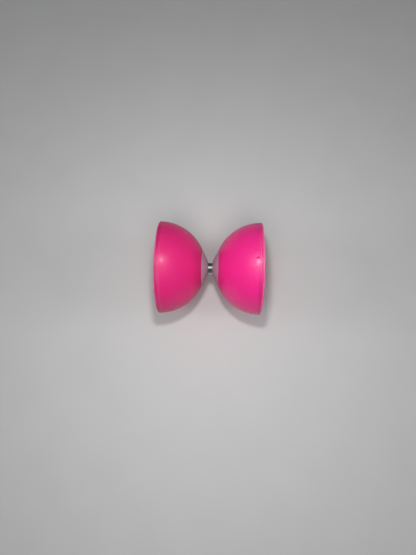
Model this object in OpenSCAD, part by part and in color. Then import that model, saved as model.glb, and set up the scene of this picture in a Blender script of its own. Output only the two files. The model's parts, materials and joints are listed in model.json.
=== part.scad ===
// Bearing diabolo lying on its rims: two soft hemispherical cups, each clamped between a cone-faced
// hub and a backing plate on one steel axle, with a free-spinning string sleeve between the hubs.
// The axle runs along X and the origin is the middle of the axle. Millimetres.
// Every section below is drawn as (radius, distance along the axle from the middle).

/* [Cups] */
// Outside diameter of the cups
cup_d = 125; // [118:1:127]
// Length of the diabolo over both rims
overall_length = 137; // [134:1:144]
// Thickness of the cup wall
cup_wall = 3.2; // [2.5:0.1:3.5]
// Thickness of the cup at its rim
rim_wall = 4.4; // [4:0.1:5]
// Depth of the thickened rim band
rim_depth = 5; // [3:0.5:8]
// Rounding of the rim's two edges
rim_round = 0.7; // [0.5:0.1:1.4]

/* [Hubs] */
// Diameter of the hub's face
hub_d = 48.8; // [46:0.2:50]
// How far the middle of the hub's face bulges from a straight cone
hub_bulge = 0.4; // [0.2:0.1:0.8]
// Thickness of the hub's outer edge
hub_edge = 1.6; // [1.2:0.1:2.2]
// Diameter of the spigot that passes through the cup
spigot_d = 31.8; // [28:0.2:34]
// Ribs inside the hub's hollow
hub_ribs = 6; // [4:1:8]

/* [Backing plates] */
// Diameter of the backing plate
plate_d = 45; // [40:1:46]
// Height of the backing plate's central boss
plate_boss_h = 4; // [3:0.5:5]
// Ribs on the backing plate
plate_ribs = 8; // [6:1:10]

/* [String sleeve] */
// Outside diameter of the sleeve
sleeve_d = 14; // [13.8:0.1:14.6]
// Gap between the hubs, where the string runs
string_gap = 6.2; // [5.5:0.1:7]
// Depth of the sleeve's shallow string groove
groove_depth = 0.05; // [0.05:0.05:0.2]

/* [Axle] */
// Diameter of the axle's threaded ends
thread_d = 6; // [6:1:6]
// Length of thread that stands out beyond each nut
thread_stub = 5.5; // [4.5:0.1:8]

/* [Bearings] */
// Balls in each ball bearing
ball_count = 12; // [9:1:14]
// Ball diameter
ball_d = 1.2; // [1:0.05:1.25]
// Rollers in the one-way clutch
roller_count = 8; // [6:1:8]
// Roller diameter
roller_d = 1.5; // [1.4:0.05:1.5]

/* [Hidden] */

// Colours
cup_pink = [0.93, 0.13, 0.50];
milky_pink = [0.78, 0.66, 0.72];
steel = [0.72, 0.73, 0.75];
polished_steel = [0.85, 0.86, 0.88];
zinc = [0.66, 0.68, 0.70];
nylon = [0.90, 0.90, 0.86];

// Fits
slip = 0.02; // between parts that are pressed or clamped together
running = 0.35; // round the sleeve, in the hubs
seat_gap = 0.1; // round the hub, in the cup
fine = 96;

// Cup
cup_r = cup_d / 2;
rim_x = overall_length / 2; // the cup's hemisphere is centred in the plane of its rim
pad_t = 2.1; // flat round the cup's hole, clamped between the hub and the backing plate
hub_r = hub_d / 2;
spigot_r = spigot_d / 2;

// Bearing stack along the axle: clutch in the middle, then a ball bearing, then a thrust washer
clutch_half = 6; // half the clutch's 12 mm width
ring_gap = 0.3; // between the clutch and a ball bearing
bearing_w = 3.5;
bearing_x0 = clutch_half + ring_gap;
bearing_x1 = bearing_x0 + bearing_w;
bearing_mid = (bearing_x0 + bearing_x1) / 2;
thrust_t = 0.7;
pocket_floor = bearing_x1 + thrust_t; // floor of the hub's pocket
sleeve_half = bearing_x1 + 0.2;

// Radii of the bearing stack
bore_r = thread_d / 2 + 0.1; // clearance hole on the axle
tube_r = 4; // hardened tube that the clutch and the bearings run on
housing_r = 6; // bore of the sleeve
inner_ring_r = 4.6;
outer_ring_r = 5.4;
pitch_r = (tube_r + housing_r) / 2;
race_groove_r = ball_d / 2 + 0.03;
shield_t = 0.15;
shield_inset = 0.06;

// Hub
sleeve_r = sleeve_d / 2;
pocket_r = sleeve_r + running;
lip_x = string_gap / 2;
lip_r = pocket_r + 0.3;
hub_proud = 0.2; // how far the hub's edge stands out of the cup's surface
face_edge_x = rim_x - sqrt(cup_r * cup_r - hub_r * hub_r) - hub_proud;
flange_back_x = face_edge_x + hub_edge;
hub_back_x = flange_back_x + pad_t;

// Backing plate, washer and nut
plate_r = plate_d / 2;
plate_t = 2;
plate_boss_r = 10;
washer_r = 9;
washer_t = 1.6;
plate_top_x = hub_back_x + plate_boss_h;
nut_x0 = plate_top_x + washer_t;
nut_flats = 10;
nut_h = 6;
nut_hex_h = 4.4;
nut_x1 = nut_x0 + nut_h;
insert_h = 1.3;
axle_half = nut_x1 + thread_stub;
thread_r = thread_d / 2;

// Points along an arc from a to b, bulging to the right of that direction by sag
function arc(a, b, sag, n) =
    let (
        chord = norm(b - a),
        rho = (chord * chord / 4 + sag * sag) / (2 * sag),
        along = (b - a) / chord,
        right = [along[1], -along[0]],
        centre = (a + b) / 2 - right * (rho - sag),
        half = asin(chord / 2 / rho)
    )
    [for (i = [0 : n])
        let (t = -half + 2 * half * i / n)
        centre + rho * (right * cos(t) + along * sin(t))];

// Points round a quarter of a circle, from angle a0 to angle a0 + turn
function quarter(centre, r, a0, turn, n = 6) =
    [for (i = [0 : n]) centre + r * [cos(a0 + turn * i / n), sin(a0 + turn * i / n)]];

// Spins a section round the axle
module turned() {
    rotate([0, 90, 0]) rotate_extrude($fn = fine) children();
}

// A ring from x0 to x1
module ring(r0, r1, x0, x1) {
    turned() translate([r0, x0]) square([r1 - r0, x1 - x0]);
}

// Puts a right-hand part on side s: 1 is right, -1 is left
module on_side(s) {
    if (s > 0) children();
    else mirror([1, 0, 0]) children();
}

// Repeats a part round the axle
module around(count) {
    for (i = [0 : count - 1]) rotate([360 * i / count, 0, 0]) children();
}

// Soft cup: a hemisphere with a thicker rounded rim and a flat pad round its hole
module cup(s) {
    rim_in = cup_r - rim_wall;
    rim_start = rim_x - rim_depth;
    body = concat(
        [[spigot_r + seat_gap, 0], [cup_r + 2, 0]],
        [[cup_r + 2, rim_x - 1.6 * rim_round]],
        quarter([cup_r - rim_round, rim_x - rim_round], rim_round, 5, 85),
        [[spigot_r + seat_gap, rim_x]]
    );
    hollow = concat(
        [[0, hub_back_x], [cup_r, hub_back_x], [cup_r, rim_start - 3]],
        [[rim_in, rim_start]],
        quarter([rim_in + rim_round, rim_x - rim_round], rim_round, 180, -90),
        [[rim_in + rim_round, rim_x + 1], [0, rim_x + 1]]
    );
    color(cup_pink) on_side(s) turned() difference() {
        intersection() {
            translate([0, rim_x]) circle(r = cup_r, $fn = 2 * fine);
            polygon(body);
        }
        intersection() {
            translate([0, rim_x]) circle(r = cup_r - cup_wall, $fn = 2 * fine);
            polygon(hollow);
        }
        // seat for the hub's edge
        square([hub_r + seat_gap, flange_back_x]);
    }
}

// Moulded hub: cone face towards the string, a pocket round the sleeve, a spigot through the cup
module hub(s) {
    core_r0 = 9.6;
    core_r1 = spigot_r - 1.9;
    core_floor = 8;
    rib_t = 1.4;
    section = concat(
        [[pocket_r, lip_x]],
        arc([lip_r, lip_x], [hub_r, face_edge_x], hub_bulge, 10),
        [[hub_r, flange_back_x], [spigot_r, flange_back_x], [spigot_r, hub_back_x]],
        [[bore_r, hub_back_x], [bore_r, pocket_floor], [pocket_r, pocket_floor]]
    );
    color(milky_pink) on_side(s) {
        difference() {
            turned() polygon(section);
            turned() polygon([
                [core_r0, core_floor], [core_r1, core_floor + 1],
                [core_r1, hub_back_x + 1], [core_r0, hub_back_x + 1],
            ]);
        }
        around(hub_ribs)
            translate([core_floor - 0.2, -rib_t / 2, core_r0 - 0.2])
                cube([hub_back_x - core_floor + 0.2, rib_t, core_r1 - core_r0 + 0.6]);
    }
}

// Moulded plate inside the cup: flat ring, central boss and low radial ribs
module backing_plate(s) {
    rib_t = 1.6;
    plate_face = hub_back_x + plate_t;
    color(milky_pink) on_side(s) {
        turned() polygon(concat(
            [[bore_r, hub_back_x], [plate_r, hub_back_x], [plate_r, plate_face - 0.8]],
            [[plate_r - 0.8, plate_face], [plate_boss_r + 0.6, plate_face]],
            [[plate_boss_r, plate_face + 0.6], [plate_boss_r, plate_top_x - 0.5]],
            [[plate_boss_r - 0.5, plate_top_x], [bore_r, plate_top_x]]
        ));
        around(plate_ribs)
            rotate([90, 0, 0])
                linear_extrude(rib_t, center = true)
                    polygon([
                        [plate_face - 0.5, plate_boss_r - 1], [plate_top_x - 0.8, plate_boss_r - 1],
                        [plate_top_x - 0.8, plate_boss_r + 0.5], [plate_face + 0.5, plate_r - 3],
                        [plate_face - 0.5, plate_r - 2],
                    ]);
    }
}

// Wide steel washer under the nut
module washer(s) {
    edge = 0.25;
    x0 = plate_top_x;
    x1 = plate_top_x + washer_t;
    color(zinc) on_side(s) turned() polygon([
        [thread_r + 0.2, x0], [washer_r, x0], [washer_r, x1 - edge],
        [washer_r - edge, x1], [thread_r + 0.2 + edge, x1], [thread_r + 0.2, x1 - edge],
    ]);
}

// Lock nut: chamfered hexagon below a round collar that holds the nylon ring
module lock_nut(s) {
    corner_r = nut_flats / 2 / cos(30);
    collar_r = nut_flats / 2 - 0.3;
    bore = thread_r + slip;
    insert_r = thread_r + 1.2;
    color(zinc) on_side(s) difference() {
        union() {
            intersection() {
                translate([nut_x0, 0, 0]) rotate([0, 90, 0]) cylinder(r = corner_r, h = nut_hex_h, $fn = 6);
                turned() polygon([
                    [0, nut_x0], [nut_flats / 2 - 0.1, nut_x0], [corner_r, nut_x0 + 0.5],
                    [corner_r, nut_x0 + nut_hex_h - 0.5], [nut_flats / 2 - 0.1, nut_x0 + nut_hex_h],
                    [0, nut_x0 + nut_hex_h],
                ]);
            }
            turned() polygon([
                [0, nut_x0 + nut_hex_h - 1], [collar_r, nut_x0 + nut_hex_h - 1],
                [collar_r, nut_x1 - 0.4], [collar_r - 0.4, nut_x1], [0, nut_x1],
            ]);
        }
        ring(0, bore, nut_x0 - 1, nut_x1 + 1);
        ring(0, insert_r, nut_x1 - 0.2 - insert_h, nut_x1 - 0.2);
        ring(0, insert_r - 0.4, nut_x1 - 1, nut_x1 + 1);
    }
}

// Nylon ring that grips the thread
module nut_insert(s) {
    x1 = nut_x1 - 0.2 - slip;
    color(nylon) on_side(s)
        ring(thread_r + slip / 2, thread_r + 1.2 - slip, x1 - insert_h + 2 * slip, x1);
}

// Steel washer between the hub and the ball bearing's inner ring
module thrust_washer(s) {
    color(steel) on_side(s) ring(bore_r, tube_r + 0.5, bearing_x1, pocket_floor);
}

// Axle: plain shank, threaded ends, and a thread relief just outside each nut
module axle_rod() {
    shank_r = thread_r - 0.05;
    relief_r = thread_r - 0.5;
    relief_w = 0.6;
    tip = 0.6;
    half = [
        [0, 0], [shank_r, 0], [shank_r, hub_back_x], [thread_r, hub_back_x + 0.1],
        [thread_r, nut_x1], [relief_r, nut_x1], [relief_r, nut_x1 + relief_w],
        [thread_r, nut_x1 + relief_w], [thread_r, axle_half - tip],
        [thread_r - tip, axle_half], [0, axle_half],
    ];
    color(steel) for (s = [-1, 1]) on_side(s) turned() polygon(half);
}

// Hardened tube that the clutch rollers and both ball bearings sit on
module clutch_race_tube() {
    chamfer = 0.2;
    color(polished_steel) turned() polygon([
        [thread_r + slip, -bearing_x1], [tube_r - chamfer, -bearing_x1],
        [tube_r, -bearing_x1 + chamfer], [tube_r, bearing_x1 - chamfer],
        [tube_r - chamfer, bearing_x1], [thread_r + slip, bearing_x1],
    ]);
}

// Ball bearing rings, with the ball's groove as a torus
module inner_ring(s) {
    color(polished_steel) on_side(s) turned() difference() {
        translate([tube_r + slip / 2, bearing_x0]) square([inner_ring_r - tube_r - slip / 2, bearing_w]);
        translate([pitch_r, bearing_mid]) circle(r = race_groove_r, $fn = fine);
    }
}

module outer_ring(s) {
    color(polished_steel) on_side(s) turned() difference() {
        translate([outer_ring_r, bearing_x0]) square([housing_r - slip / 2 - outer_ring_r, bearing_w]);
        translate([pitch_r, bearing_mid]) circle(r = race_groove_r, $fn = fine);
    }
}

// Two thin metal shields that close a bearing's faces and ride on its outer ring
module shields(s) {
    r0 = inner_ring_r + 0.08;
    r1 = outer_ring_r - slip / 2;
    x0 = bearing_x0 + shield_inset;
    x1 = bearing_x1 - shield_inset;
    color(polished_steel) on_side(s) {
        ring(r0, r1, x0, x0 + shield_t);
        ring(r0, r1, x1 - shield_t, x1);
    }
}

module balls(s) {
    color(polished_steel) on_side(s)
        around(ball_count)
            translate([bearing_mid, 0, pitch_r]) sphere(r = ball_d / 2, $fn = 32);
}

// Cage that spaces the balls round the bearing
module ball_cage(s) {
    cage_half = 0.95;
    cage_t = 0.25;
    color(nylon) on_side(s) difference() {
        ring(pitch_r - cage_t, pitch_r + cage_t, bearing_mid - cage_half, bearing_mid + cage_half);
        around(ball_count)
            translate([bearing_mid, 0, pitch_r]) sphere(r = ball_d / 2 + 0.04, $fn = 32);
    }
}

// Steel sleeve that the string runs on, with a shallow groove in its middle
module string_sleeve() {
    edge = 0.4;
    outline = concat(
        [[housing_r, -sleeve_half], [sleeve_r - edge, -sleeve_half], [sleeve_r, -sleeve_half + edge]],
        arc([sleeve_r, -lip_x], [sleeve_r, lip_x], -groove_depth, 10),
        [[sleeve_r, sleeve_half - edge], [sleeve_r - edge, sleeve_half], [housing_r, sleeve_half]]
    );
    color(polished_steel) turned() polygon(outline);
}

// One-way clutch, pressed into the middle of the sleeve
roller_r = roller_d / 2;
roller_half = 4;
roller_path_r = tube_r + roller_r + 0.03;
shell_in_r = 5.35;
cage_r0 = tube_r + 0.15;
cage_r1 = shell_in_r - 0.1;
slot_half = roller_half + 0.15;
slot_back = 0.5; // room for the spring
slot_front = 0.1;

// Places a child at the roller position, with Z pointing out from the axle
module at_rollers() {
    around(roller_count) translate([0, 0, roller_path_r]) children();
}

// Drawn steel shell with turned-in ends and an off-centre ramp over each roller
module clutch_shell() {
    lip_t = 0.45;
    ramp_r = roller_r + 0.25;
    ramp_half = roller_half + 0.3;
    ramp_lean = 2; // degrees
    color(steel) difference() {
        ring(tube_r + 0.5, housing_r - slip / 2, -clutch_half, clutch_half);
        ring(0, shell_in_r, -clutch_half + lip_t, clutch_half - lip_t);
        around(roller_count) rotate([-ramp_lean, 0, 0])
            translate([-ramp_half, 0, roller_path_r - 0.15])
                rotate([0, 90, 0]) cylinder(r = ramp_r, h = 2 * ramp_half, $fn = 32);
    }
}

// Moulded cage with a slot for each roller and its spring
module clutch_cage() {
    cage_half = clutch_half - 0.65;
    color(nylon) difference() {
        ring(cage_r0, cage_r1, -cage_half, cage_half);
        at_rollers() translate([-slot_half, -roller_r - slot_back, -2])
            cube([2 * slot_half, roller_d + slot_back + slot_front, 4]);
    }
}

module clutch_rollers() {
    color(polished_steel) at_rollers()
        translate([-roller_half, 0, 0])
            rotate([0, 90, 0]) cylinder(r = roller_r, h = 2 * roller_half, $fn = 32);
}

// Bent leaf spring between each roller and the wall of its slot
module clutch_springs() {
    leaf_t = 0.12;
    leaf_half_h = 0.4;
    leaf_half_w = roller_half - 0.6;
    wall_y = -roller_r - slot_back;
    tip_y = -roller_r - slip;
    color(steel) at_rollers()
        translate([-leaf_half_w, 0, 0]) rotate([90, 0, 90]) linear_extrude(2 * leaf_half_w)
            polygon([
                [wall_y, -leaf_half_h], [wall_y + leaf_t, -leaf_half_h], [tip_y, 0],
                [wall_y + leaf_t, leaf_half_h], [wall_y, leaf_half_h], [tip_y - 1.5 * leaf_t, 0],
            ]);
}

cup(-1);  // left_cup
cup(1);  // right_cup
hub(-1);  // left_hub
hub(1);  // right_hub
backing_plate(-1);  // left_backing_plate
backing_plate(1);  // right_backing_plate
washer(-1);  // left_washer
washer(1);  // right_washer
lock_nut(-1);  // left_lock_nut
lock_nut(1);  // right_lock_nut
nut_insert(-1);  // left_nut_insert
nut_insert(1);  // right_nut_insert
thrust_washer(-1);  // left_thrust_washer
thrust_washer(1);  // right_thrust_washer
axle_rod();
clutch_race_tube();
inner_ring(-1);  // left_bearing_inner_ring
inner_ring(1);  // right_bearing_inner_ring
string_sleeve();
outer_ring(-1);  // left_bearing_outer_ring
outer_ring(1);  // right_bearing_outer_ring
shields(-1);  // left_bearing_shields
shields(1);  // right_bearing_shields
clutch_shell();
clutch_cage();
clutch_rollers();
clutch_springs();
balls(-1);  // left_bearing_balls
balls(1);  // right_bearing_balls
ball_cage(-1);  // left_bearing_cage
ball_cage(1);  // right_bearing_cage
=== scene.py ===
"""Looks of a bearing diabolo: two soft pink cups, milky hubs and a steel string sleeve on one axle."""

import json
import math

import bmesh
import bpy
from mathutils import Matrix, Vector


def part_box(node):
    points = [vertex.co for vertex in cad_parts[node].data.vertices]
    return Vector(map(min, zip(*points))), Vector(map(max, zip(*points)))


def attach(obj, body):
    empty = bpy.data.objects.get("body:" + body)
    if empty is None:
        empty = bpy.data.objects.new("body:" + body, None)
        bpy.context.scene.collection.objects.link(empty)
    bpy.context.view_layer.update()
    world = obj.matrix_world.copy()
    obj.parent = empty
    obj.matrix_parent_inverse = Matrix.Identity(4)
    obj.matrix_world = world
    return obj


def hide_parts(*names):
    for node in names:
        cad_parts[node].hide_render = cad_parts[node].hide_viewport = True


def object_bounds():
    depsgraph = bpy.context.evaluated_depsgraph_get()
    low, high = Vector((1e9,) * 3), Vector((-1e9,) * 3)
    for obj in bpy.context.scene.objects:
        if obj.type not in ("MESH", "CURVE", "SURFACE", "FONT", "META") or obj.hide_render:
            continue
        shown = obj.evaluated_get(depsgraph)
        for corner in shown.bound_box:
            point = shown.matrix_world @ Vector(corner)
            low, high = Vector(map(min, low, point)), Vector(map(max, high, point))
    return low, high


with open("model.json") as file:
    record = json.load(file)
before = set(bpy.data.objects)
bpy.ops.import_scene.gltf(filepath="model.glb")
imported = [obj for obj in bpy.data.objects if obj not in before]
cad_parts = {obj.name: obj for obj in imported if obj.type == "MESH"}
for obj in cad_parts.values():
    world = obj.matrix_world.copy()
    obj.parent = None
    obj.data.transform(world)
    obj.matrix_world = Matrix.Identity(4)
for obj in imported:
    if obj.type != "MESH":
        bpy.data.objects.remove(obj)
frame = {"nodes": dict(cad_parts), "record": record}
cad_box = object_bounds()

MM = 0.001
SIDES = {"left": -1, "right": 1}
ROOT = "cups_and_axle"
SLEEVE = "sleeve"


# ---------------------------------------------------------------- camera, lights and floor

ELEVATION = 75  # degrees above the horizon, looking along +Y


def looking_down(elevation):
    """The rotation from a camera's axes to the world's, for a level camera that looks along +Y."""
    return Matrix.Rotation(math.radians(90 - elevation), 3, "X")


def add_camera():
    """A phone's wide lens, nearly over the object, turned by about a degree each way."""
    data = bpy.data.cameras.new("camera")
    data.sensor_fit = "VERTICAL"
    data.sensor_height = 36
    data.lens = 27.24
    data.clip_start = 0.01
    pitch, yaw, roll = (math.radians(a) for a in (-1.30, 1.64, 1.13))
    lean = Matrix.Rotation(pitch, 3, "X") @ Matrix.Rotation(yaw, 3, "Y") @ Matrix.Rotation(roll, 3, "Z")
    over = looking_down(ELEVATION)
    camera = bpy.data.objects.new("camera", data)
    camera.matrix_world = Matrix.Translation(over @ Vector((0.0137, 0, 0.5753))) @ (over @ lean).to_4x4()
    bpy.context.collection.objects.link(camera)
    bpy.context.scene.camera = camera


def add_panel(name, place, size, watts, mirrored=True):
    """A round soft light at a place in the camera's tilted axes, aimed at the object.

    mirrored is False for a light that only fills, and leaves no reflection on gloss.
    """
    data = bpy.data.lights.new(name, "AREA")
    data.shape = "DISK"
    data.size = size
    data.energy = watts
    panel = bpy.data.objects.new(name, data)
    where = looking_down(ELEVATION) @ Vector(place)
    panel.matrix_world = Matrix.Translation(where) @ where.to_track_quat("Z", "Y").to_matrix().to_4x4()
    panel.visible_camera = False
    panel.visible_glossy = mirrored
    bpy.context.collection.objects.link(panel)


def add_lights():
    add_panel("key", (0.0, 0.120, 0.430), 0.045, 0.80)
    add_panel("front", (0.0, -0.13, 0.60), 0.30, 1.05, mirrored=False)
    add_panel("sheen", (0.0, -0.10, 0.90), 0.58, 0.7)
    add_panel("overhead", (-0.30, 0.90, 1.60), 1.5, 0.6)
    for side in SIDES.values():
        add_panel("into_cup", (side * 1.5, 0.10, 0.75), 0.7, 5.0, mirrored=False)
    world = bpy.data.worlds.new("studio")
    world.use_nodes = True
    sky = world.node_tree.nodes["Background"]
    sky.inputs["Color"].default_value = (0.86, 0.87, 0.90, 1)
    sky.inputs["Strength"].default_value = 0.13
    bpy.context.scene.world = world
    bpy.context.scene.view_settings.view_transform = "Standard"


def add_floor():
    half = 3.0
    mesh = bpy.data.meshes.new("floor")
    z = cad_box[0].z
    corners = [(-half, -half, z), (half, -half, z), (half, half, z), (-half, half, z)]
    mesh.from_pydata(corners, [], [(0, 1, 2, 3)])
    floor = bpy.data.objects.new("floor", mesh)
    mesh.materials.append(floor_finish())
    bpy.context.collection.objects.link(floor)


# ---------------------------------------------------------------- materials


class Finish:
    """A principled material, with a short call for each kind of node that shapes its look."""

    def __init__(self, name, **shader):
        self.material = bpy.data.materials.new(name)
        self.material.use_nodes = True
        self.tree = self.material.node_tree
        self.shader = self.tree.nodes["Principled BSDF"]
        for key, value in shader.items():
            self.shader.inputs[key.replace("_", " ")].default_value = value
        self.place = self.tree.nodes.new("ShaderNodeTexCoord").outputs["Object"]

    def node(self, kind, out, settings=None, **inputs):
        node = self.tree.nodes.new("ShaderNode" + kind)
        for key, value in (settings or {}).items():
            setattr(node, key, value)
        for key, value in inputs.items():
            index = int(key[1:]) if key[0] == "i" and key[1:].isdigit() else key
            self.feed(node.inputs[index], value)
        return node.outputs[out]

    def feed(self, socket, value):
        if isinstance(value, bpy.types.NodeSocket):
            self.tree.links.new(value, socket)
        else:
            socket.default_value = value

    def noise(self, size, detail=2, vector=None, roughness=0.5):
        """Noise from 0 to 1 whose features are about size metres across."""
        return self.node("TexNoise", "Fac", Vector=vector or self.place, Scale=1 / size, Detail=detail,
                         Roughness=roughness)

    def stretch(self, x, y, z):
        """The object's own coordinates, scaled along each axis."""
        return self.node("VectorMath", "Vector", {"operation": "MULTIPLY"}, i0=self.place, i1=(x, y, z))

    def ramp(self, value, low, high, start=0.0, end=1.0):
        """value, as it goes from low to high, mapped to start to end and held there."""
        return self.node("MapRange", "Result", {"interpolation_type": "SMOOTHSTEP"}, Value=value,
                         **{"From Min": low, "From Max": high, "To Min": start, "To Max": end})

    def math(self, operation, a, b=0.0):
        return self.node("Math", "Value", {"operation": operation}, i0=a, i1=b)

    def along(self):
        """Distance from the middle of the axle, along it."""
        x = self.node("SeparateXYZ", "X", Vector=self.place)
        return self.math("ABSOLUTE", x)

    def radius(self):
        """Distance from the axle's centreline."""
        across = self.stretch(0, 1, 1)
        return self.node("VectorMath", "Value", {"operation": "LENGTH"}, i0=across)

    def mix(self, share, a, b):
        """Colour a turning into colour b."""
        return self.node("Mix", 2, {"data_type": "RGBA"}, i0=share, i6=rgba(a), i7=rgba(b))

    def bumps(self, *layers):
        """(height, depth in metres) layers, stacked into the shader's normal."""
        normal = None
        for height, depth in layers:
            inputs = {"Height": height, "Distance": depth}
            if normal is not None:
                inputs["Normal"] = normal
            normal = self.node("Bump", "Normal", **inputs)
        self.feed(self.shader.inputs["Normal"], normal)

    def paint(self, colour, roughness):
        self.feed(self.shader.inputs["Base Color"], colour)
        self.feed(self.shader.inputs["Roughness"], roughness)
        return self.material


def rgba(colour):
    return colour if isinstance(colour, bpy.types.NodeSocket) else (*colour, 1)


def cup_finish(name, inside, painted_brighter):
    """Soft pink plastic: faint mottling, a moulded grain, turned lines by the rim and fine stray scratches.

    inside is True for the duller face in the cup's hollow. painted_brighter is 1 for the right cup, else 0:
    its colour is painted brighter and bluer, standing in for the stronger light on it, and it is also
    glossier.
    The pit's painted shade is where the right cup's dent is, so the left cup shows none.
    """
    f = Finish(name, Subsurface_Weight=0.12, Subsurface_Radius=(1.0, 0.25, 0.45), Subsurface_Scale=0.003,
               Specular_IOR_Level=0.32 + 0.12 * painted_brighter, Coat_Weight=0.060 + 0.055 * painted_brighter, Coat_Roughness=0.20)
    cloud = f.noise(0.030, 3)
    mottle = f.noise(0.006, 4)
    grain = f.noise(0.00035 if inside else 0.00022, 2)
    hoops = f.noise(0.0014, 3, f.stretch(1.0, 0.02, 0.02))
    streaks = f.noise(0.0009, 3, f.stretch(0.08, 1.0, 0.35))
    dings = f.noise(0.0030, 2)
    near_rim = f.ramp(f.along(), RIM_X - 10 * MM, RIM_X - 1 * MM)
    scuffs = f.math("MULTIPLY", f.ramp(hoops, 0.50, 0.62), near_rim)
    # Darker lines where the turned rings are lowest: painted shade in their grooves.
    groove_shade = f.math("MULTIPLY", f.ramp(hoops, 0.48, 0.38), near_rim)
    patches = f.noise(0.012, 3)
    # A paler line along the rim's rounded corner: painted highlight where the corner catches the light, and
    # partly wear. It is stronger on the cup that is painted brighter.
    corner = f.math("MULTIPLY", f.ramp(f.along(), RIM_X - 1.8 * MM, RIM_X - 0.6 * MM),
                    f.ramp(f.radius(), CUP_R - 1.0 * MM, CUP_R - 0.2 * MM, 0.3, 1.0))
    rim_highlight_and_wear = f.math("MULTIPLY", corner, f.ramp(patches, 0.30, 0.60, 0.35, 0.85))
    scratches = f.math("MULTIPLY", f.ramp(streaks, 0.68, 0.74), f.ramp(cloud, 0.45, 0.62))
    specks = f.ramp(f.noise(0.0011, 1), 0.78, 0.84)
    # The right cup's tones are raised by painted_brighter: painted light, not a different plastic.
    deep = (0.68 + 0.16 * painted_brighter, 0.015, 0.164 + 0.068 * painted_brighter)
    light = (0.76 + 0.16 * painted_brighter, 0.024, 0.198 + 0.080 * painted_brighter)
    base = f.mix(cloud, deep, light)
    base = f.mix(f.math("MULTIPLY", mottle, 0.18), base, (0.66, 0.008, 0.140))
    base = f.mix(f.math("MULTIPLY", near_rim, 0.30 - 0.15 * painted_brighter), base, (0.52, 0.045, 0.165))
    base = f.mix(f.math("MULTIPLY", scuffs, 0.55 - 0.15 * painted_brighter), base, (0.80, 0.20, 0.36))
    base = f.mix(f.math("MULTIPLY", groove_shade, 0.75 - 0.10 * painted_brighter), base, (0.40, 0.010, 0.110))
    base = f.mix(f.math("MULTIPLY", rim_highlight_and_wear, 0.40 + 0.35 * painted_brighter), base, (0.90, 0.28, 0.48))
    base = f.mix(f.math("MULTIPLY", scratches, 0.16), base, (0.88, 0.20, 0.38))
    base = f.mix(f.math("MULTIPLY", specks, 0.35), base, (0.40, 0.012, 0.10))
    # Darker in the dent's pit: painted shade.
    from_dent = f.node("VectorMath", "Value", {"operation": "DISTANCE"}, i0=f.place, i1=dent_middle())
    pit_shade = f.ramp(from_dent, DENT_R * 1.15, DENT_R * 0.55)
    base = f.mix(f.math("MULTIPLY", pit_shade, 0.85), base, (0.60, 0.002, 0.165))
    rough = f.ramp(mottle, 0.3, 0.7, 0.46 if inside else 0.38, 0.56 if inside else 0.46)
    rough = f.math("ADD", rough, f.math("MULTIPLY", scuffs, 0.16))
    rough = f.math("ADD", rough, f.math("MULTIPLY", scratches, 0.10))
    f.bumps((mottle, 0.00018), (dings, 0.00009), (hoops, 0.000050), (grain, 0.000014 if inside else 0.000008),
            (scratches, -0.00001))
    return f.paint(base, rough)


def hub_finish():
    """Milky plastic, a little translucent, with fine turned rings. Its pink tint is a painted reflection of
    the pink cups; grey patches near the axle show less of it.
    """
    f = Finish("hub_plastic", Subsurface_Weight=0.45, Subsurface_Radius=(1.0, 0.75, 0.85),
               Subsurface_Scale=0.004)
    cloud = f.noise(0.010, 3)
    rings = f.noise(0.0007, 1, f.stretch(1.0, 0.02, 0.02))
    grain = f.noise(0.00025, 2)
    # Grey patches near the axle, where less of the painted pink reflection is laid; they are a little rougher
    # too.
    grey_near_axle = f.math("MULTIPLY", f.ramp(f.radius(), 0.0135, 0.0075), f.ramp(f.noise(0.0035, 4), 0.38, 0.62))
    # The pink in these tones is a painted reflection of the pink cups on milky grey-white plastic.
    base = f.mix(cloud, (0.54, 0.325, 0.420), (0.62, 0.395, 0.490))
    base = f.mix(f.math("MULTIPLY", rings, 0.22), base, (0.43, 0.255, 0.335))
    base = f.mix(f.math("MULTIPLY", grey_near_axle, 0.75), base, (0.37, 0.325, 0.350))
    rough = f.ramp(cloud, 0.3, 0.7, 0.36, 0.46)
    rough = f.math("ADD", rough, f.math("MULTIPLY", grey_near_axle, 0.14))
    f.bumps((rings, 0.00003), (grain, 0.000008), (cloud, 0.00004))
    return f.paint(base, rough)


def sleeve_finish():
    """Turned steel that the string has worn to a satin, with a few dull patches. Its colour is painted far
    darker than steel: a painted reflection of dark surroundings.
    """
    f = Finish("sleeve_steel", Metallic=1.0)
    turned = f.noise(0.00010, 2, f.stretch(1.0, 0.01, 0.01))
    smears = f.noise(0.0030, 3, f.stretch(1.0, 0.4, 0.4))
    # These tones are far darker than steel: a painted reflection of dark surroundings.
    base = f.mix(turned, (0.195, 0.187, 0.190), (0.265, 0.257, 0.261))
    base = f.mix(f.math("MULTIPLY", f.ramp(smears, 0.5, 0.75), 0.4), base, (0.165, 0.155, 0.152))
    f.bumps((turned, 0.000026))
    return f.paint(base, f.ramp(smears, 0.3, 0.75, 0.38, 0.45))


def axle_finish(thread_root, thread_crest):
    """Bright steel, darker in the thread's roots."""
    f = Finish("axle_steel", Metallic=1.0)
    root_darkening = f.ramp(f.radius(), thread_crest, thread_root)
    blotch = f.noise(0.0018, 4)
    base = f.mix(blotch, (0.56, 0.56, 0.57), (0.70, 0.70, 0.71))
    base = f.mix(f.math("MULTIPLY", root_darkening, 0.75), base, (0.10, 0.095, 0.09))
    rough = f.math("ADD", f.ramp(blotch, 0.3, 0.7, 0.24, 0.36), f.math("MULTIPLY", root_darkening, 0.25))
    f.bumps((f.noise(0.00015, 2), 0.000006))
    return f.paint(base, rough)


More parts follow.
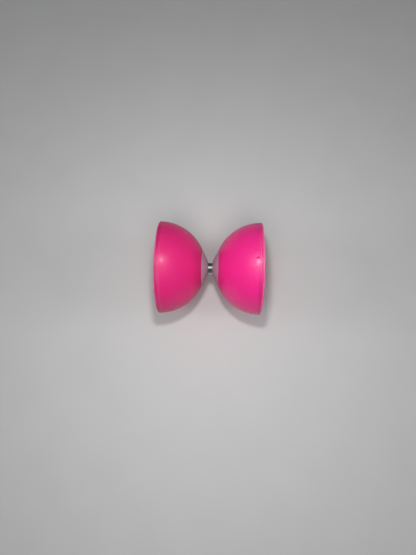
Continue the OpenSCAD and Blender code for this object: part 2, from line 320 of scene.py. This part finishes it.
def zinc_finish():
    """Zinc-plated steel: a cool dull shine with cloudy spangles and small rubs."""
    f = Finish("zinc_steel", Metallic=1.0)
    spangle = f.noise(0.0016, 3)
    film = f.noise(0.0060, 2)
    rubs = f.ramp(f.noise(0.0007, 3, f.stretch(0.3, 1.0, 1.0)), 0.62, 0.72)
    base = f.mix(spangle, (0.62, 0.64, 0.67), (0.76, 0.77, 0.79))
    base = f.mix(f.math("MULTIPLY", f.ramp(film, 0.45, 0.65), 0.25), base, (0.72, 0.69, 0.56))
    base = f.mix(f.math("MULTIPLY", rubs, 0.35), base, (0.84, 0.84, 0.85))
    f.bumps((spangle, 0.000005), (f.noise(0.00018, 2), 0.000003))
    return f.paint(base, f.ramp(spangle, 0.3, 0.7, 0.26, 0.42))


def bearing_finish():
    """Ground and hardened bearing steel, filmed with oil."""
    f = Finish("bearing_steel", Metallic=1.0)
    ground = f.noise(0.00012, 2, f.stretch(1.0, 0.02, 0.02))
    oil = f.noise(0.0020, 3)
    base = f.mix(ground, (0.55, 0.55, 0.57), (0.68, 0.68, 0.70))
    base = f.mix(f.math("MULTIPLY", f.ramp(oil, 0.5, 0.7), 0.35), base, (0.48, 0.44, 0.36))
    f.bumps((ground, 0.000003))
    return f.paint(base, f.ramp(oil, 0.3, 0.7, 0.12, 0.24))


def nylon_finish():
    """Natural nylon, off-white and waxy."""
    f = Finish("nylon", Subsurface_Weight=0.3, Subsurface_Radius=(1.0, 0.9, 0.7), Subsurface_Scale=0.002)
    cloud = f.noise(0.0020, 3)
    base = f.mix(cloud, (0.66, 0.64, 0.56), (0.78, 0.76, 0.69))
    f.bumps((cloud, 0.00001), (f.noise(0.0002, 2), 0.000006))
    return f.paint(base, f.ramp(cloud, 0.3, 0.7, 0.42, 0.54))


def floor_finish():
    """Plain pale paper."""
    f = Finish("studio_floor")
    cloud = f.noise(0.05, 4)
    base = f.mix(cloud, (0.62, 0.62, 0.615), (0.66, 0.66, 0.655))
    f.bumps((f.noise(0.0012, 3), 0.00005))
    return f.paint(base, f.ramp(cloud, 0.3, 0.7, 0.60, 0.72))


# ---------------------------------------------------------------- outlines and meshes
# An outline is a list of (x, r) points: the distance along the axle, and the distance out from it.


def arc(centre, radius, start, end, steps):
    """Points round part of a circle. An angle of 0 points along +x, and 90 degrees away from the axle."""
    angles = [math.radians(start + (end - start) * i / steps) for i in range(steps + 1)]
    return [(centre[0] + radius * math.cos(a), centre[1] + radius * math.sin(a)) for a in angles]


def bowed(start, end, sag, steps):
    """Points from start to end on a shallow parabola, sag to the left of the straight line."""
    a, b = Vector(start), Vector(end)
    left = Vector((-(b - a).y, (b - a).x)).normalized()
    shares = [i / steps for i in range(steps + 1)]
    return [tuple(a + (b - a) * t + left * sag * 4 * t * (1 - t)) for t in shares]


def rounded(corners, steps=5):
    """A closed outline from (x, r, fillet) corners. A corner with a fillet becomes an arc."""
    points = []
    for i, (x, r, fillet) in enumerate(corners):
        here = Vector((x, r))
        if fillet == 0:
            points.append((x, r))
            continue
        back = (Vector(corners[i - 1][:2]) - here).normalized()
        ahead = (Vector(corners[(i + 1) % len(corners)][:2]) - here).normalized()
        half = back.angle(ahead) / 2
        centre = here + (back + ahead).normalized() * fillet / math.sin(half)
        first = (here + back * fillet / math.tan(half) - centre).normalized()
        last = (here + ahead * fillet / math.tan(half) - centre).normalized()
        for k in range(steps + 1):
            points.append(tuple(centre + first.slerp(last, k / steps) * fillet))
    return points


def even(count):
    """Angles evenly round a full turn."""
    return [math.tau * i / count for i in range(count)]


def spun(name, outline, angles, finish, side=1, shape=None, closed=True):
    """A solid made by turning an outline round the axle.

    shape(x, r, angle) may move a point within its own half-plane, to raise a rib or cut a thread.
    An outline that isn't closed starts and ends on the axle. side is -1 for the left-hand mirror image.
    """
    bm = bmesh.new()
    grid = []
    for angle in angles:
        moved = [shape(x, r, angle) if shape else (x, r) for x, r in outline]
        grid.append([bm.verts.new((side * x, r * math.sin(angle), r * math.cos(angle))) for x, r in moved])
    last = len(outline) if closed else len(outline) - 1
    for column, following in zip(grid, grid[1:] + grid[:1]):
        for i in range(last):
            j = (i + 1) % len(outline)
            bm.faces.new((column[i], column[j], following[j], following[i]))
    bmesh.ops.remove_doubles(bm, verts=bm.verts, dist=1e-7)
    bmesh.ops.recalc_face_normals(bm, faces=bm.faces)
    return as_object(name, bm, finish)


def as_object(name, bm, finish, crease=32):
    """Turns a bmesh into a smooth-shaded object whose edges sharper than crease degrees stay sharp."""
    for face in bm.faces:
        face.smooth = True
    for edge in bm.edges:
        edge.smooth = len(edge.link_faces) == 2 and edge.calc_face_angle() < math.radians(crease)
    mesh = bpy.data.meshes.new(name)
    bm.to_mesh(mesh)
    bm.free()
    mesh.materials.append(finish)
    piece = bpy.data.objects.new(name, mesh)
    bpy.context.collection.objects.link(piece)
    return piece


def stands_for(piece, node, body):
    """piece is shown in place of a CAD node, on its body."""
    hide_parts(node)
    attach(piece, body)


def high(node):
    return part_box(node)[1]


def low(node):
    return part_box(node)[0]


# ---------------------------------------------------------------- cups

WALL = 3.2 * MM
RIM_WALL = 4.4 * MM
RIM_DEPTH = 5 * MM
RIM_ROUND = 0.7 * MM
PAD = 2.1 * MM  # thickness of the flat round the cup's hole
SEAT_GAP = 0.1 * MM  # round the hub's edge

RIM_X = high("right_cup").x
CUP_R = -low("right_cup").z
HUB_R = high("right_hub").z
PAD_X = low("right_backing_plate").x
SEAT_X = PAD_X - PAD
SPIGOT_R = 15.9 * MM


def sphere_arc(radius, r_start, r_end, steps):
    """Points along a sphere centred in the rim's plane, by equal angles."""
    a, b = math.asin(r_start / radius), math.asin(r_end / radius)
    angles = [a + (b - a) * i / steps for i in range(steps + 1)]
    return [(RIM_X - radius * math.cos(t), radius * math.sin(t)) for t in angles]


def cup_outline():
    """Seat, outside, rim and inside of a cup, in that order."""
    inner = CUP_R - WALL
    band = CUP_R - RIM_WALL
    band_x = RIM_X - RIM_DEPTH
    seat_r = HUB_R + SEAT_GAP
    pad_r = math.sqrt(inner ** 2 - (RIM_X - PAD_X) ** 2)
    pad_round = 0.6 * MM
    behind_band = (band_x - 3 * MM, inner * 0.9965)  # the inside meets the band in a faint hollow
    outside = sphere_arc(CUP_R, seat_r, CUP_R * math.cos(math.radians(1)), 130)
    rim = arc((RIM_X - RIM_ROUND, CUP_R - RIM_ROUND), RIM_ROUND, 84, 0, 7)
    rim += arc((RIM_X - RIM_ROUND, band + RIM_ROUND), RIM_ROUND, 0, -90, 7)
    step = bowed((band_x, band), behind_band, -0.25 * MM, 6)
    inside = sphere_arc(inner, inner * 0.988, pad_r + 0.9 * MM, 70)
    pad = arc((PAD_X + pad_round, pad_r - 0.4 * MM), pad_round, 120, 180, 4)
    hole = [(PAD_X, SPIGOT_R + SEAT_GAP), (SEAT_X, SPIGOT_R + SEAT_GAP), (SEAT_X, seat_r)]
    return hole + outside + rim + step + inside + pad


DENT_BACK = 8.6 * MM  # from the rim's plane
DENT_TURN = math.radians(-1.5)  # round the axle from straight up, towards +Y
DENT_R = 1.4 * MM
DENT_DEPTH = 0.60 * MM
DENT_LIP = 0.10 * MM
DENT_LIP_AT, DENT_LIP_WIDTH = 1.7, 0.45  # in dent radii


def dent_middle():
    r = math.sqrt(CUP_R ** 2 - DENT_BACK ** 2)
    return Vector((RIM_X - DENT_BACK, r * math.sin(DENT_TURN), r * math.cos(DENT_TURN)))


def dent(x, r, angle):
    """A small round pit in the outside of the right cup, with a raised lip round it."""
    centre = Vector((RIM_X, 0, 0))
    here = Vector((x, r * math.sin(angle), r * math.cos(angle)))
    far = (here - dent_middle()).length / DENT_R
    if far > 4 or (here - centre).length < CUP_R - 0.5 * MM:
        return x, r
    raised = DENT_LIP * math.exp(-((far - DENT_LIP_AT) / DENT_LIP_WIDTH) ** 2)
    deep = DENT_DEPTH * math.exp(-far ** 2) - raised
    shrink = 1 - deep / CUP_R
    return RIM_X + (x - RIM_X) * shrink, r * shrink


def with_fine_band(values, middle, half, steps):
    """values, with a run of closer ones on each side of middle."""
    fine = [middle + half * i / steps for i in range(-steps, steps + 1)]
    return sorted([v for v in values if abs(v - middle) > half * 1.02] + fine)


def add_cups():
    for name, side in SIDES.items():
        # the right cup's colour is painted brighter, as painted light
        painted_brighter = 1 if side > 0 else 0
        outside = cup_finish(name + "_cup_plastic", False, painted_brighter)
        inside = cup_finish(name + "_cup_plastic_inside", True, painted_brighter)
        angles = [angle - math.pi for angle in even(288)]
        if side > 0:
            angles = with_fine_band(angles, DENT_TURN, math.radians(3.5), 18)
        cup = spun(name + "_soft_cup", cup_outline(), angles, outside, side, dent if side > 0 else None)
        cup.data.materials.append(inside)
        for face in cup.data.polygons:
            x, r = abs(face.center.x), Vector(face.center.yz).length
            if PAD_X - 0.1 * MM < x < RIM_X - 0.5 * MM and math.hypot(RIM_X - x, r) < CUP_R - WALL / 2:
                face.material_index = 1
        stands_for(cup, name + "_cup", ROOT)


# ---------------------------------------------------------------- hubs and backing plates

LIP_X = low("right_hub").x
POCKET_R = high("string_sleeve").z + 0.35 * MM
POCKET_X = 10.5 * MM
BORE_R = 3.1 * MM
HUB_EDGE = 1.6 * MM
HUB_BULGE = 0.4 * MM
HUB_RIBS = 6
PLATE_RIBS = 8


def rib_mask(angle, r, count, width, soft):
    """1 on a radial rib, 0 between ribs, with a soft edge. The ribs keep their width at any radius."""
    pitch = math.tau / count
    off = (angle + pitch / 2) % pitch - pitch / 2
    across = abs(r * math.sin(off))
    t = min(max((width / 2 + soft - across) / soft, 0), 1)
    return t * t * (3 - 2 * t)


def add_hubs(finish):
    hollow_r0, hollow_r1, hollow_x = 9.6 * MM, SPIGOT_R - 1.9 * MM, 8 * MM
    back_x = PAD_X
    edge_x = SEAT_X - HUB_EDGE
    rib_t, rib_soft = 1.4 * MM, 0.5 * MM
    lip = (LIP_X, POCKET_R + 0.3 * MM)
    face = bowed(lip, (edge_x, HUB_R), HUB_BULGE, 40)[:-2]  # the edge's rounding takes the last stretch
    body = rounded([
        (*lip, 0), (edge_x + 0.02 * MM, HUB_R, 0.15 * MM), (SEAT_X, HUB_R, 0.2 * MM), (SEAT_X, SPIGOT_R, 0),
        (back_x, SPIGOT_R, 0.3 * MM), (back_x, hollow_r1, 0.2 * MM), (hollow_x + 1 * MM, hollow_r1, 0.6 * MM),
        (hollow_x, hollow_r0, 0.6 * MM), (back_x, hollow_r0, 0.2 * MM), (back_x, BORE_R, 0.2 * MM),
        (POCKET_X, BORE_R, 0), (POCKET_X, POCKET_R, 0.3 * MM), (LIP_X, POCKET_R, 0.1 * MM),
    ])[1:]

    def ribbed(x, r, angle):
        """Fills the hollow between the spigot and the core up to the back, where a rib is."""
        if hollow_r0 - 0.05 * MM < r < hollow_r1 + 0.05 * MM and hollow_x - 0.1 * MM < x < back_x:
            x += (back_x - 0.1 * MM - x) * rib_mask(angle, r, HUB_RIBS, rib_t, rib_soft)
        return x, r

    for name, side in SIDES.items():
        hub = spun(name + "_cone_hub", face + body, even(360), finish, side, ribbed)
        stands_for(hub, name + "_hub", ROOT)


def add_backing_plates(finish):
    plate_r = high("right_backing_plate").z
    top_x = high("right_backing_plate").x
    face_x = PAD_X + 2 * MM
    boss_r = 10 * MM
    fillet = 0.8 * MM
    rib_start = plate_r - 2 * MM
    rib_h = top_x - 0.9 * MM - face_x
    rib_t, rib_soft = 1.2 * MM, 0.5 * MM
    rib_end, steps = boss_r + 1.2 * fillet, 16
    flat = [(face_x, rib_start + (rib_end - rib_start) * i / steps, 0) for i in range(steps + 1)]
    outline = rounded([(PAD_X, BORE_R, 0), (PAD_X, plate_r, 0.3 * MM), (face_x, plate_r, fillet)] + flat + [
        (face_x, boss_r, fillet), (top_x, boss_r, 0.5 * MM), (top_x, BORE_R, 0.2 * MM),
    ])

    def ribbed(x, r, angle):
        """Raises ribs that climb from the plate's face to its boss."""
        if x < face_x - 0.001 * MM or r < boss_r:
            return x, r
        climb = min(max((rib_start - r) / (rib_start - boss_r), 0), 1)
        return max(x, face_x + rib_h * climb * rib_mask(angle, r, PLATE_RIBS, rib_t, rib_soft)), r

    for name, side in SIDES.items():
        plate = spun(name + "_plate", outline, even(480), finish, side, ribbed)
        stands_for(plate, name + "_backing_plate", ROOT)


# ---------------------------------------------------------------- washers, nuts and axle

THREAD_R = high("axle_rod").z
THREAD_PITCH = 1 * MM
THREAD_DEPTH = 0.61 * MM
RELIEF_R = THREAD_R - 0.5 * MM
RELIEF_W = 0.6 * MM


def add_washers(finish):
    x0, x1, r = low("right_washer").x, high("right_washer").x, high("right_washer").z
    hole = THREAD_R + 0.2 * MM
    outline = rounded([(x0, hole, 0.1 * MM), (x0, r, 0.1 * MM), (x1, r, 0.45 * MM), (x1, hole, 0.35 * MM)])
    for name, side in SIDES.items():
        washer = spun(name + "_flat_washer", outline, even(160), finish, side)
        stands_for(washer, name + "_washer", ROOT)


def add_nuts(finish):
    x0, x1 = low("right_lock_nut").x, high("right_lock_nut").x
    flat_r = high("right_lock_nut").y
    corner_r = flat_r / math.cos(math.radians(30))
    collar_r = flat_r - 0.3 * MM
    hex_x = x0 + 4.4 * MM
    bore = THREAD_R + 0.02 * MM
    ring_r, ring_x, ring_w = THREAD_R + 1.2 * MM, x1 - 0.2 * MM, 1.3 * MM
    mouth_r = ring_r - 0.4 * MM
    chamfer_r = flat_r - 0.1 * MM
    chamfer_slope = 1.9
    middle_x = (x0 + hex_x) / 2
    side_x = (middle_x - 1 * MM, middle_x + 1 * MM)
    outline = rounded([
        (x0, chamfer_r, 0), (side_x[0], corner_r, 0), (side_x[1], corner_r, 0), (hex_x, chamfer_r, 0),
        (hex_x, collar_r, 0.15 * MM), (x1, collar_r, 0.4 * MM), (x1, mouth_r, 0.1 * MM),
        (ring_x, mouth_r, 0), (ring_x, ring_r, 0), (ring_x - ring_w, ring_r, 0),
        (ring_x - ring_w, bore, 0), (x0, bore, 0.4 * MM),
    ])

    def hexagon(x, r, angle):
        """Puts the two middle corners on the six flats, and on the chamfer's curve."""
        if x not in side_x:
            return x, r
        off = (angle % math.radians(60)) - math.radians(30)
        wall = flat_r / math.cos(off)
        inset = (wall - chamfer_r) / chamfer_slope
        return (x0 + inset if x < middle_x else hex_x - inset), wall

    for name, side in SIDES.items():
        nut = spun(name + "_nut", outline, even(360), finish, side, hexagon)
        stands_for(nut, name + "_lock_nut", ROOT)


def add_nut_rings(finish):
    x0, x1 = low("right_nut_insert").x, high("right_nut_insert").x
    inner, outer = THREAD_R + 0.01 * MM, high("right_nut_insert").z
    outline = rounded([
        (x0, inner, 0.2 * MM), (x0, outer, 0.1 * MM), (x1, outer, 0.1 * MM), (x1, inner, 0.4 * MM),
    ])
    for name, side in SIDES.items():
        ring = spun(name + "_nylon_ring", outline, even(120), finish, side)
        stands_for(ring, name + "_nut_insert", ROOT)


def thread(x, r, angle):
    """Cuts a 60 degree right-hand thread, flat for 1/8 pitch on its crests and 1/4 pitch in its roots."""
    turn = (x / THREAD_PITCH - angle / math.tau) % 1
    from_root = abs(turn - 0.5)
    crest, root = 1 / 2 - 1 / 16, 1 / 8
    cut = THREAD_DEPTH * min(max((crest - from_root) / (crest - root), 0), 1)
    return x, min(r, THREAD_R - cut)


def add_axle(finish):
    """The rod: plain in the middle and threaded to each end, with a relief by each nut and tapered tips."""
    end_x = high("axle_rod").x
    nut_x = high("right_lock_nut").x
    shank_r = THREAD_R - 0.05 * MM
    tip = 0.6 * MM
    start = PAD_X
    steps = int((end_x - tip - start) / THREAD_PITCH * 20)
    half = [(start + (end_x - tip - start) * i / steps, THREAD_R) for i in range(steps + 1)]
    taper = [(end_x - tip + tip * i / 8, THREAD_R - tip * i / 8) for i in range(1, 9)]
    right = [(0, shank_r), (start - 0.3 * MM, shank_r)] + half + taper + [(end_x, 0)]
    left = [(-x, r) for x, r in reversed(right[1:])]

    def cut(x, r, angle):
        """Leaves the shank and the end faces, and threads the rest."""
        if abs(x) < start or r < THREAD_R - tip * 1.01:
            return x, r
        if 0 <= abs(x) - nut_x <= RELIEF_W:
            r = RELIEF_R
        return thread(x, r, angle)

    rod = spun("threaded_axle", left + right, even(96), finish, 1, cut, closed=False)
    stands_for(rod, "axle_rod", ROOT)


# ---------------------------------------------------------------- string sleeve and the parts inside it


def add_sleeve(finish):
    half, r = high("string_sleeve").x, high("string_sleeve").z
    bore = 6 * MM
    groove = 0.05 * MM
    middle = bowed((-LIP_X, r), (LIP_X, r), -groove, 24)
    outline = middle + rounded([
        (half, r, 0.4 * MM), (half, bore, 0.15 * MM), (-half, bore, 0.15 * MM), (-half, r, 0.4 * MM),
    ])
    sleeve = spun("polished_sleeve", outline, even(240), finish)
    stands_for(sleeve, "string_sleeve", SLEEVE)


def refinish(finishes):
    """Gives each CAD node that is still shown the finish of its material slot."""
    slots = {part["node"]: part["material_slot"] for part in frame["record"]["subparts"]}
    for name, node in frame["nodes"].items():
        if not node.hide_render:
            node.data.materials.clear()
            node.data.materials.append(finishes[slots[name]])


# ---------------------------------------------------------------- the scene

add_camera()
add_lights()
add_floor()

hub_plastic = hub_finish()
zinc = zinc_finish()
nylon = nylon_finish()
steel = axle_finish(THREAD_R - THREAD_DEPTH, THREAD_R)

add_cups()
add_hubs(hub_plastic)
add_backing_plates(hub_plastic)
add_washers(zinc)
add_nuts(zinc)
add_nut_rings(nylon)
add_axle(steel)
add_sleeve(sleeve_finish())
refinish({"zinc_steel": zinc, "nylon": nylon, "bearing_steel": bearing_finish()})
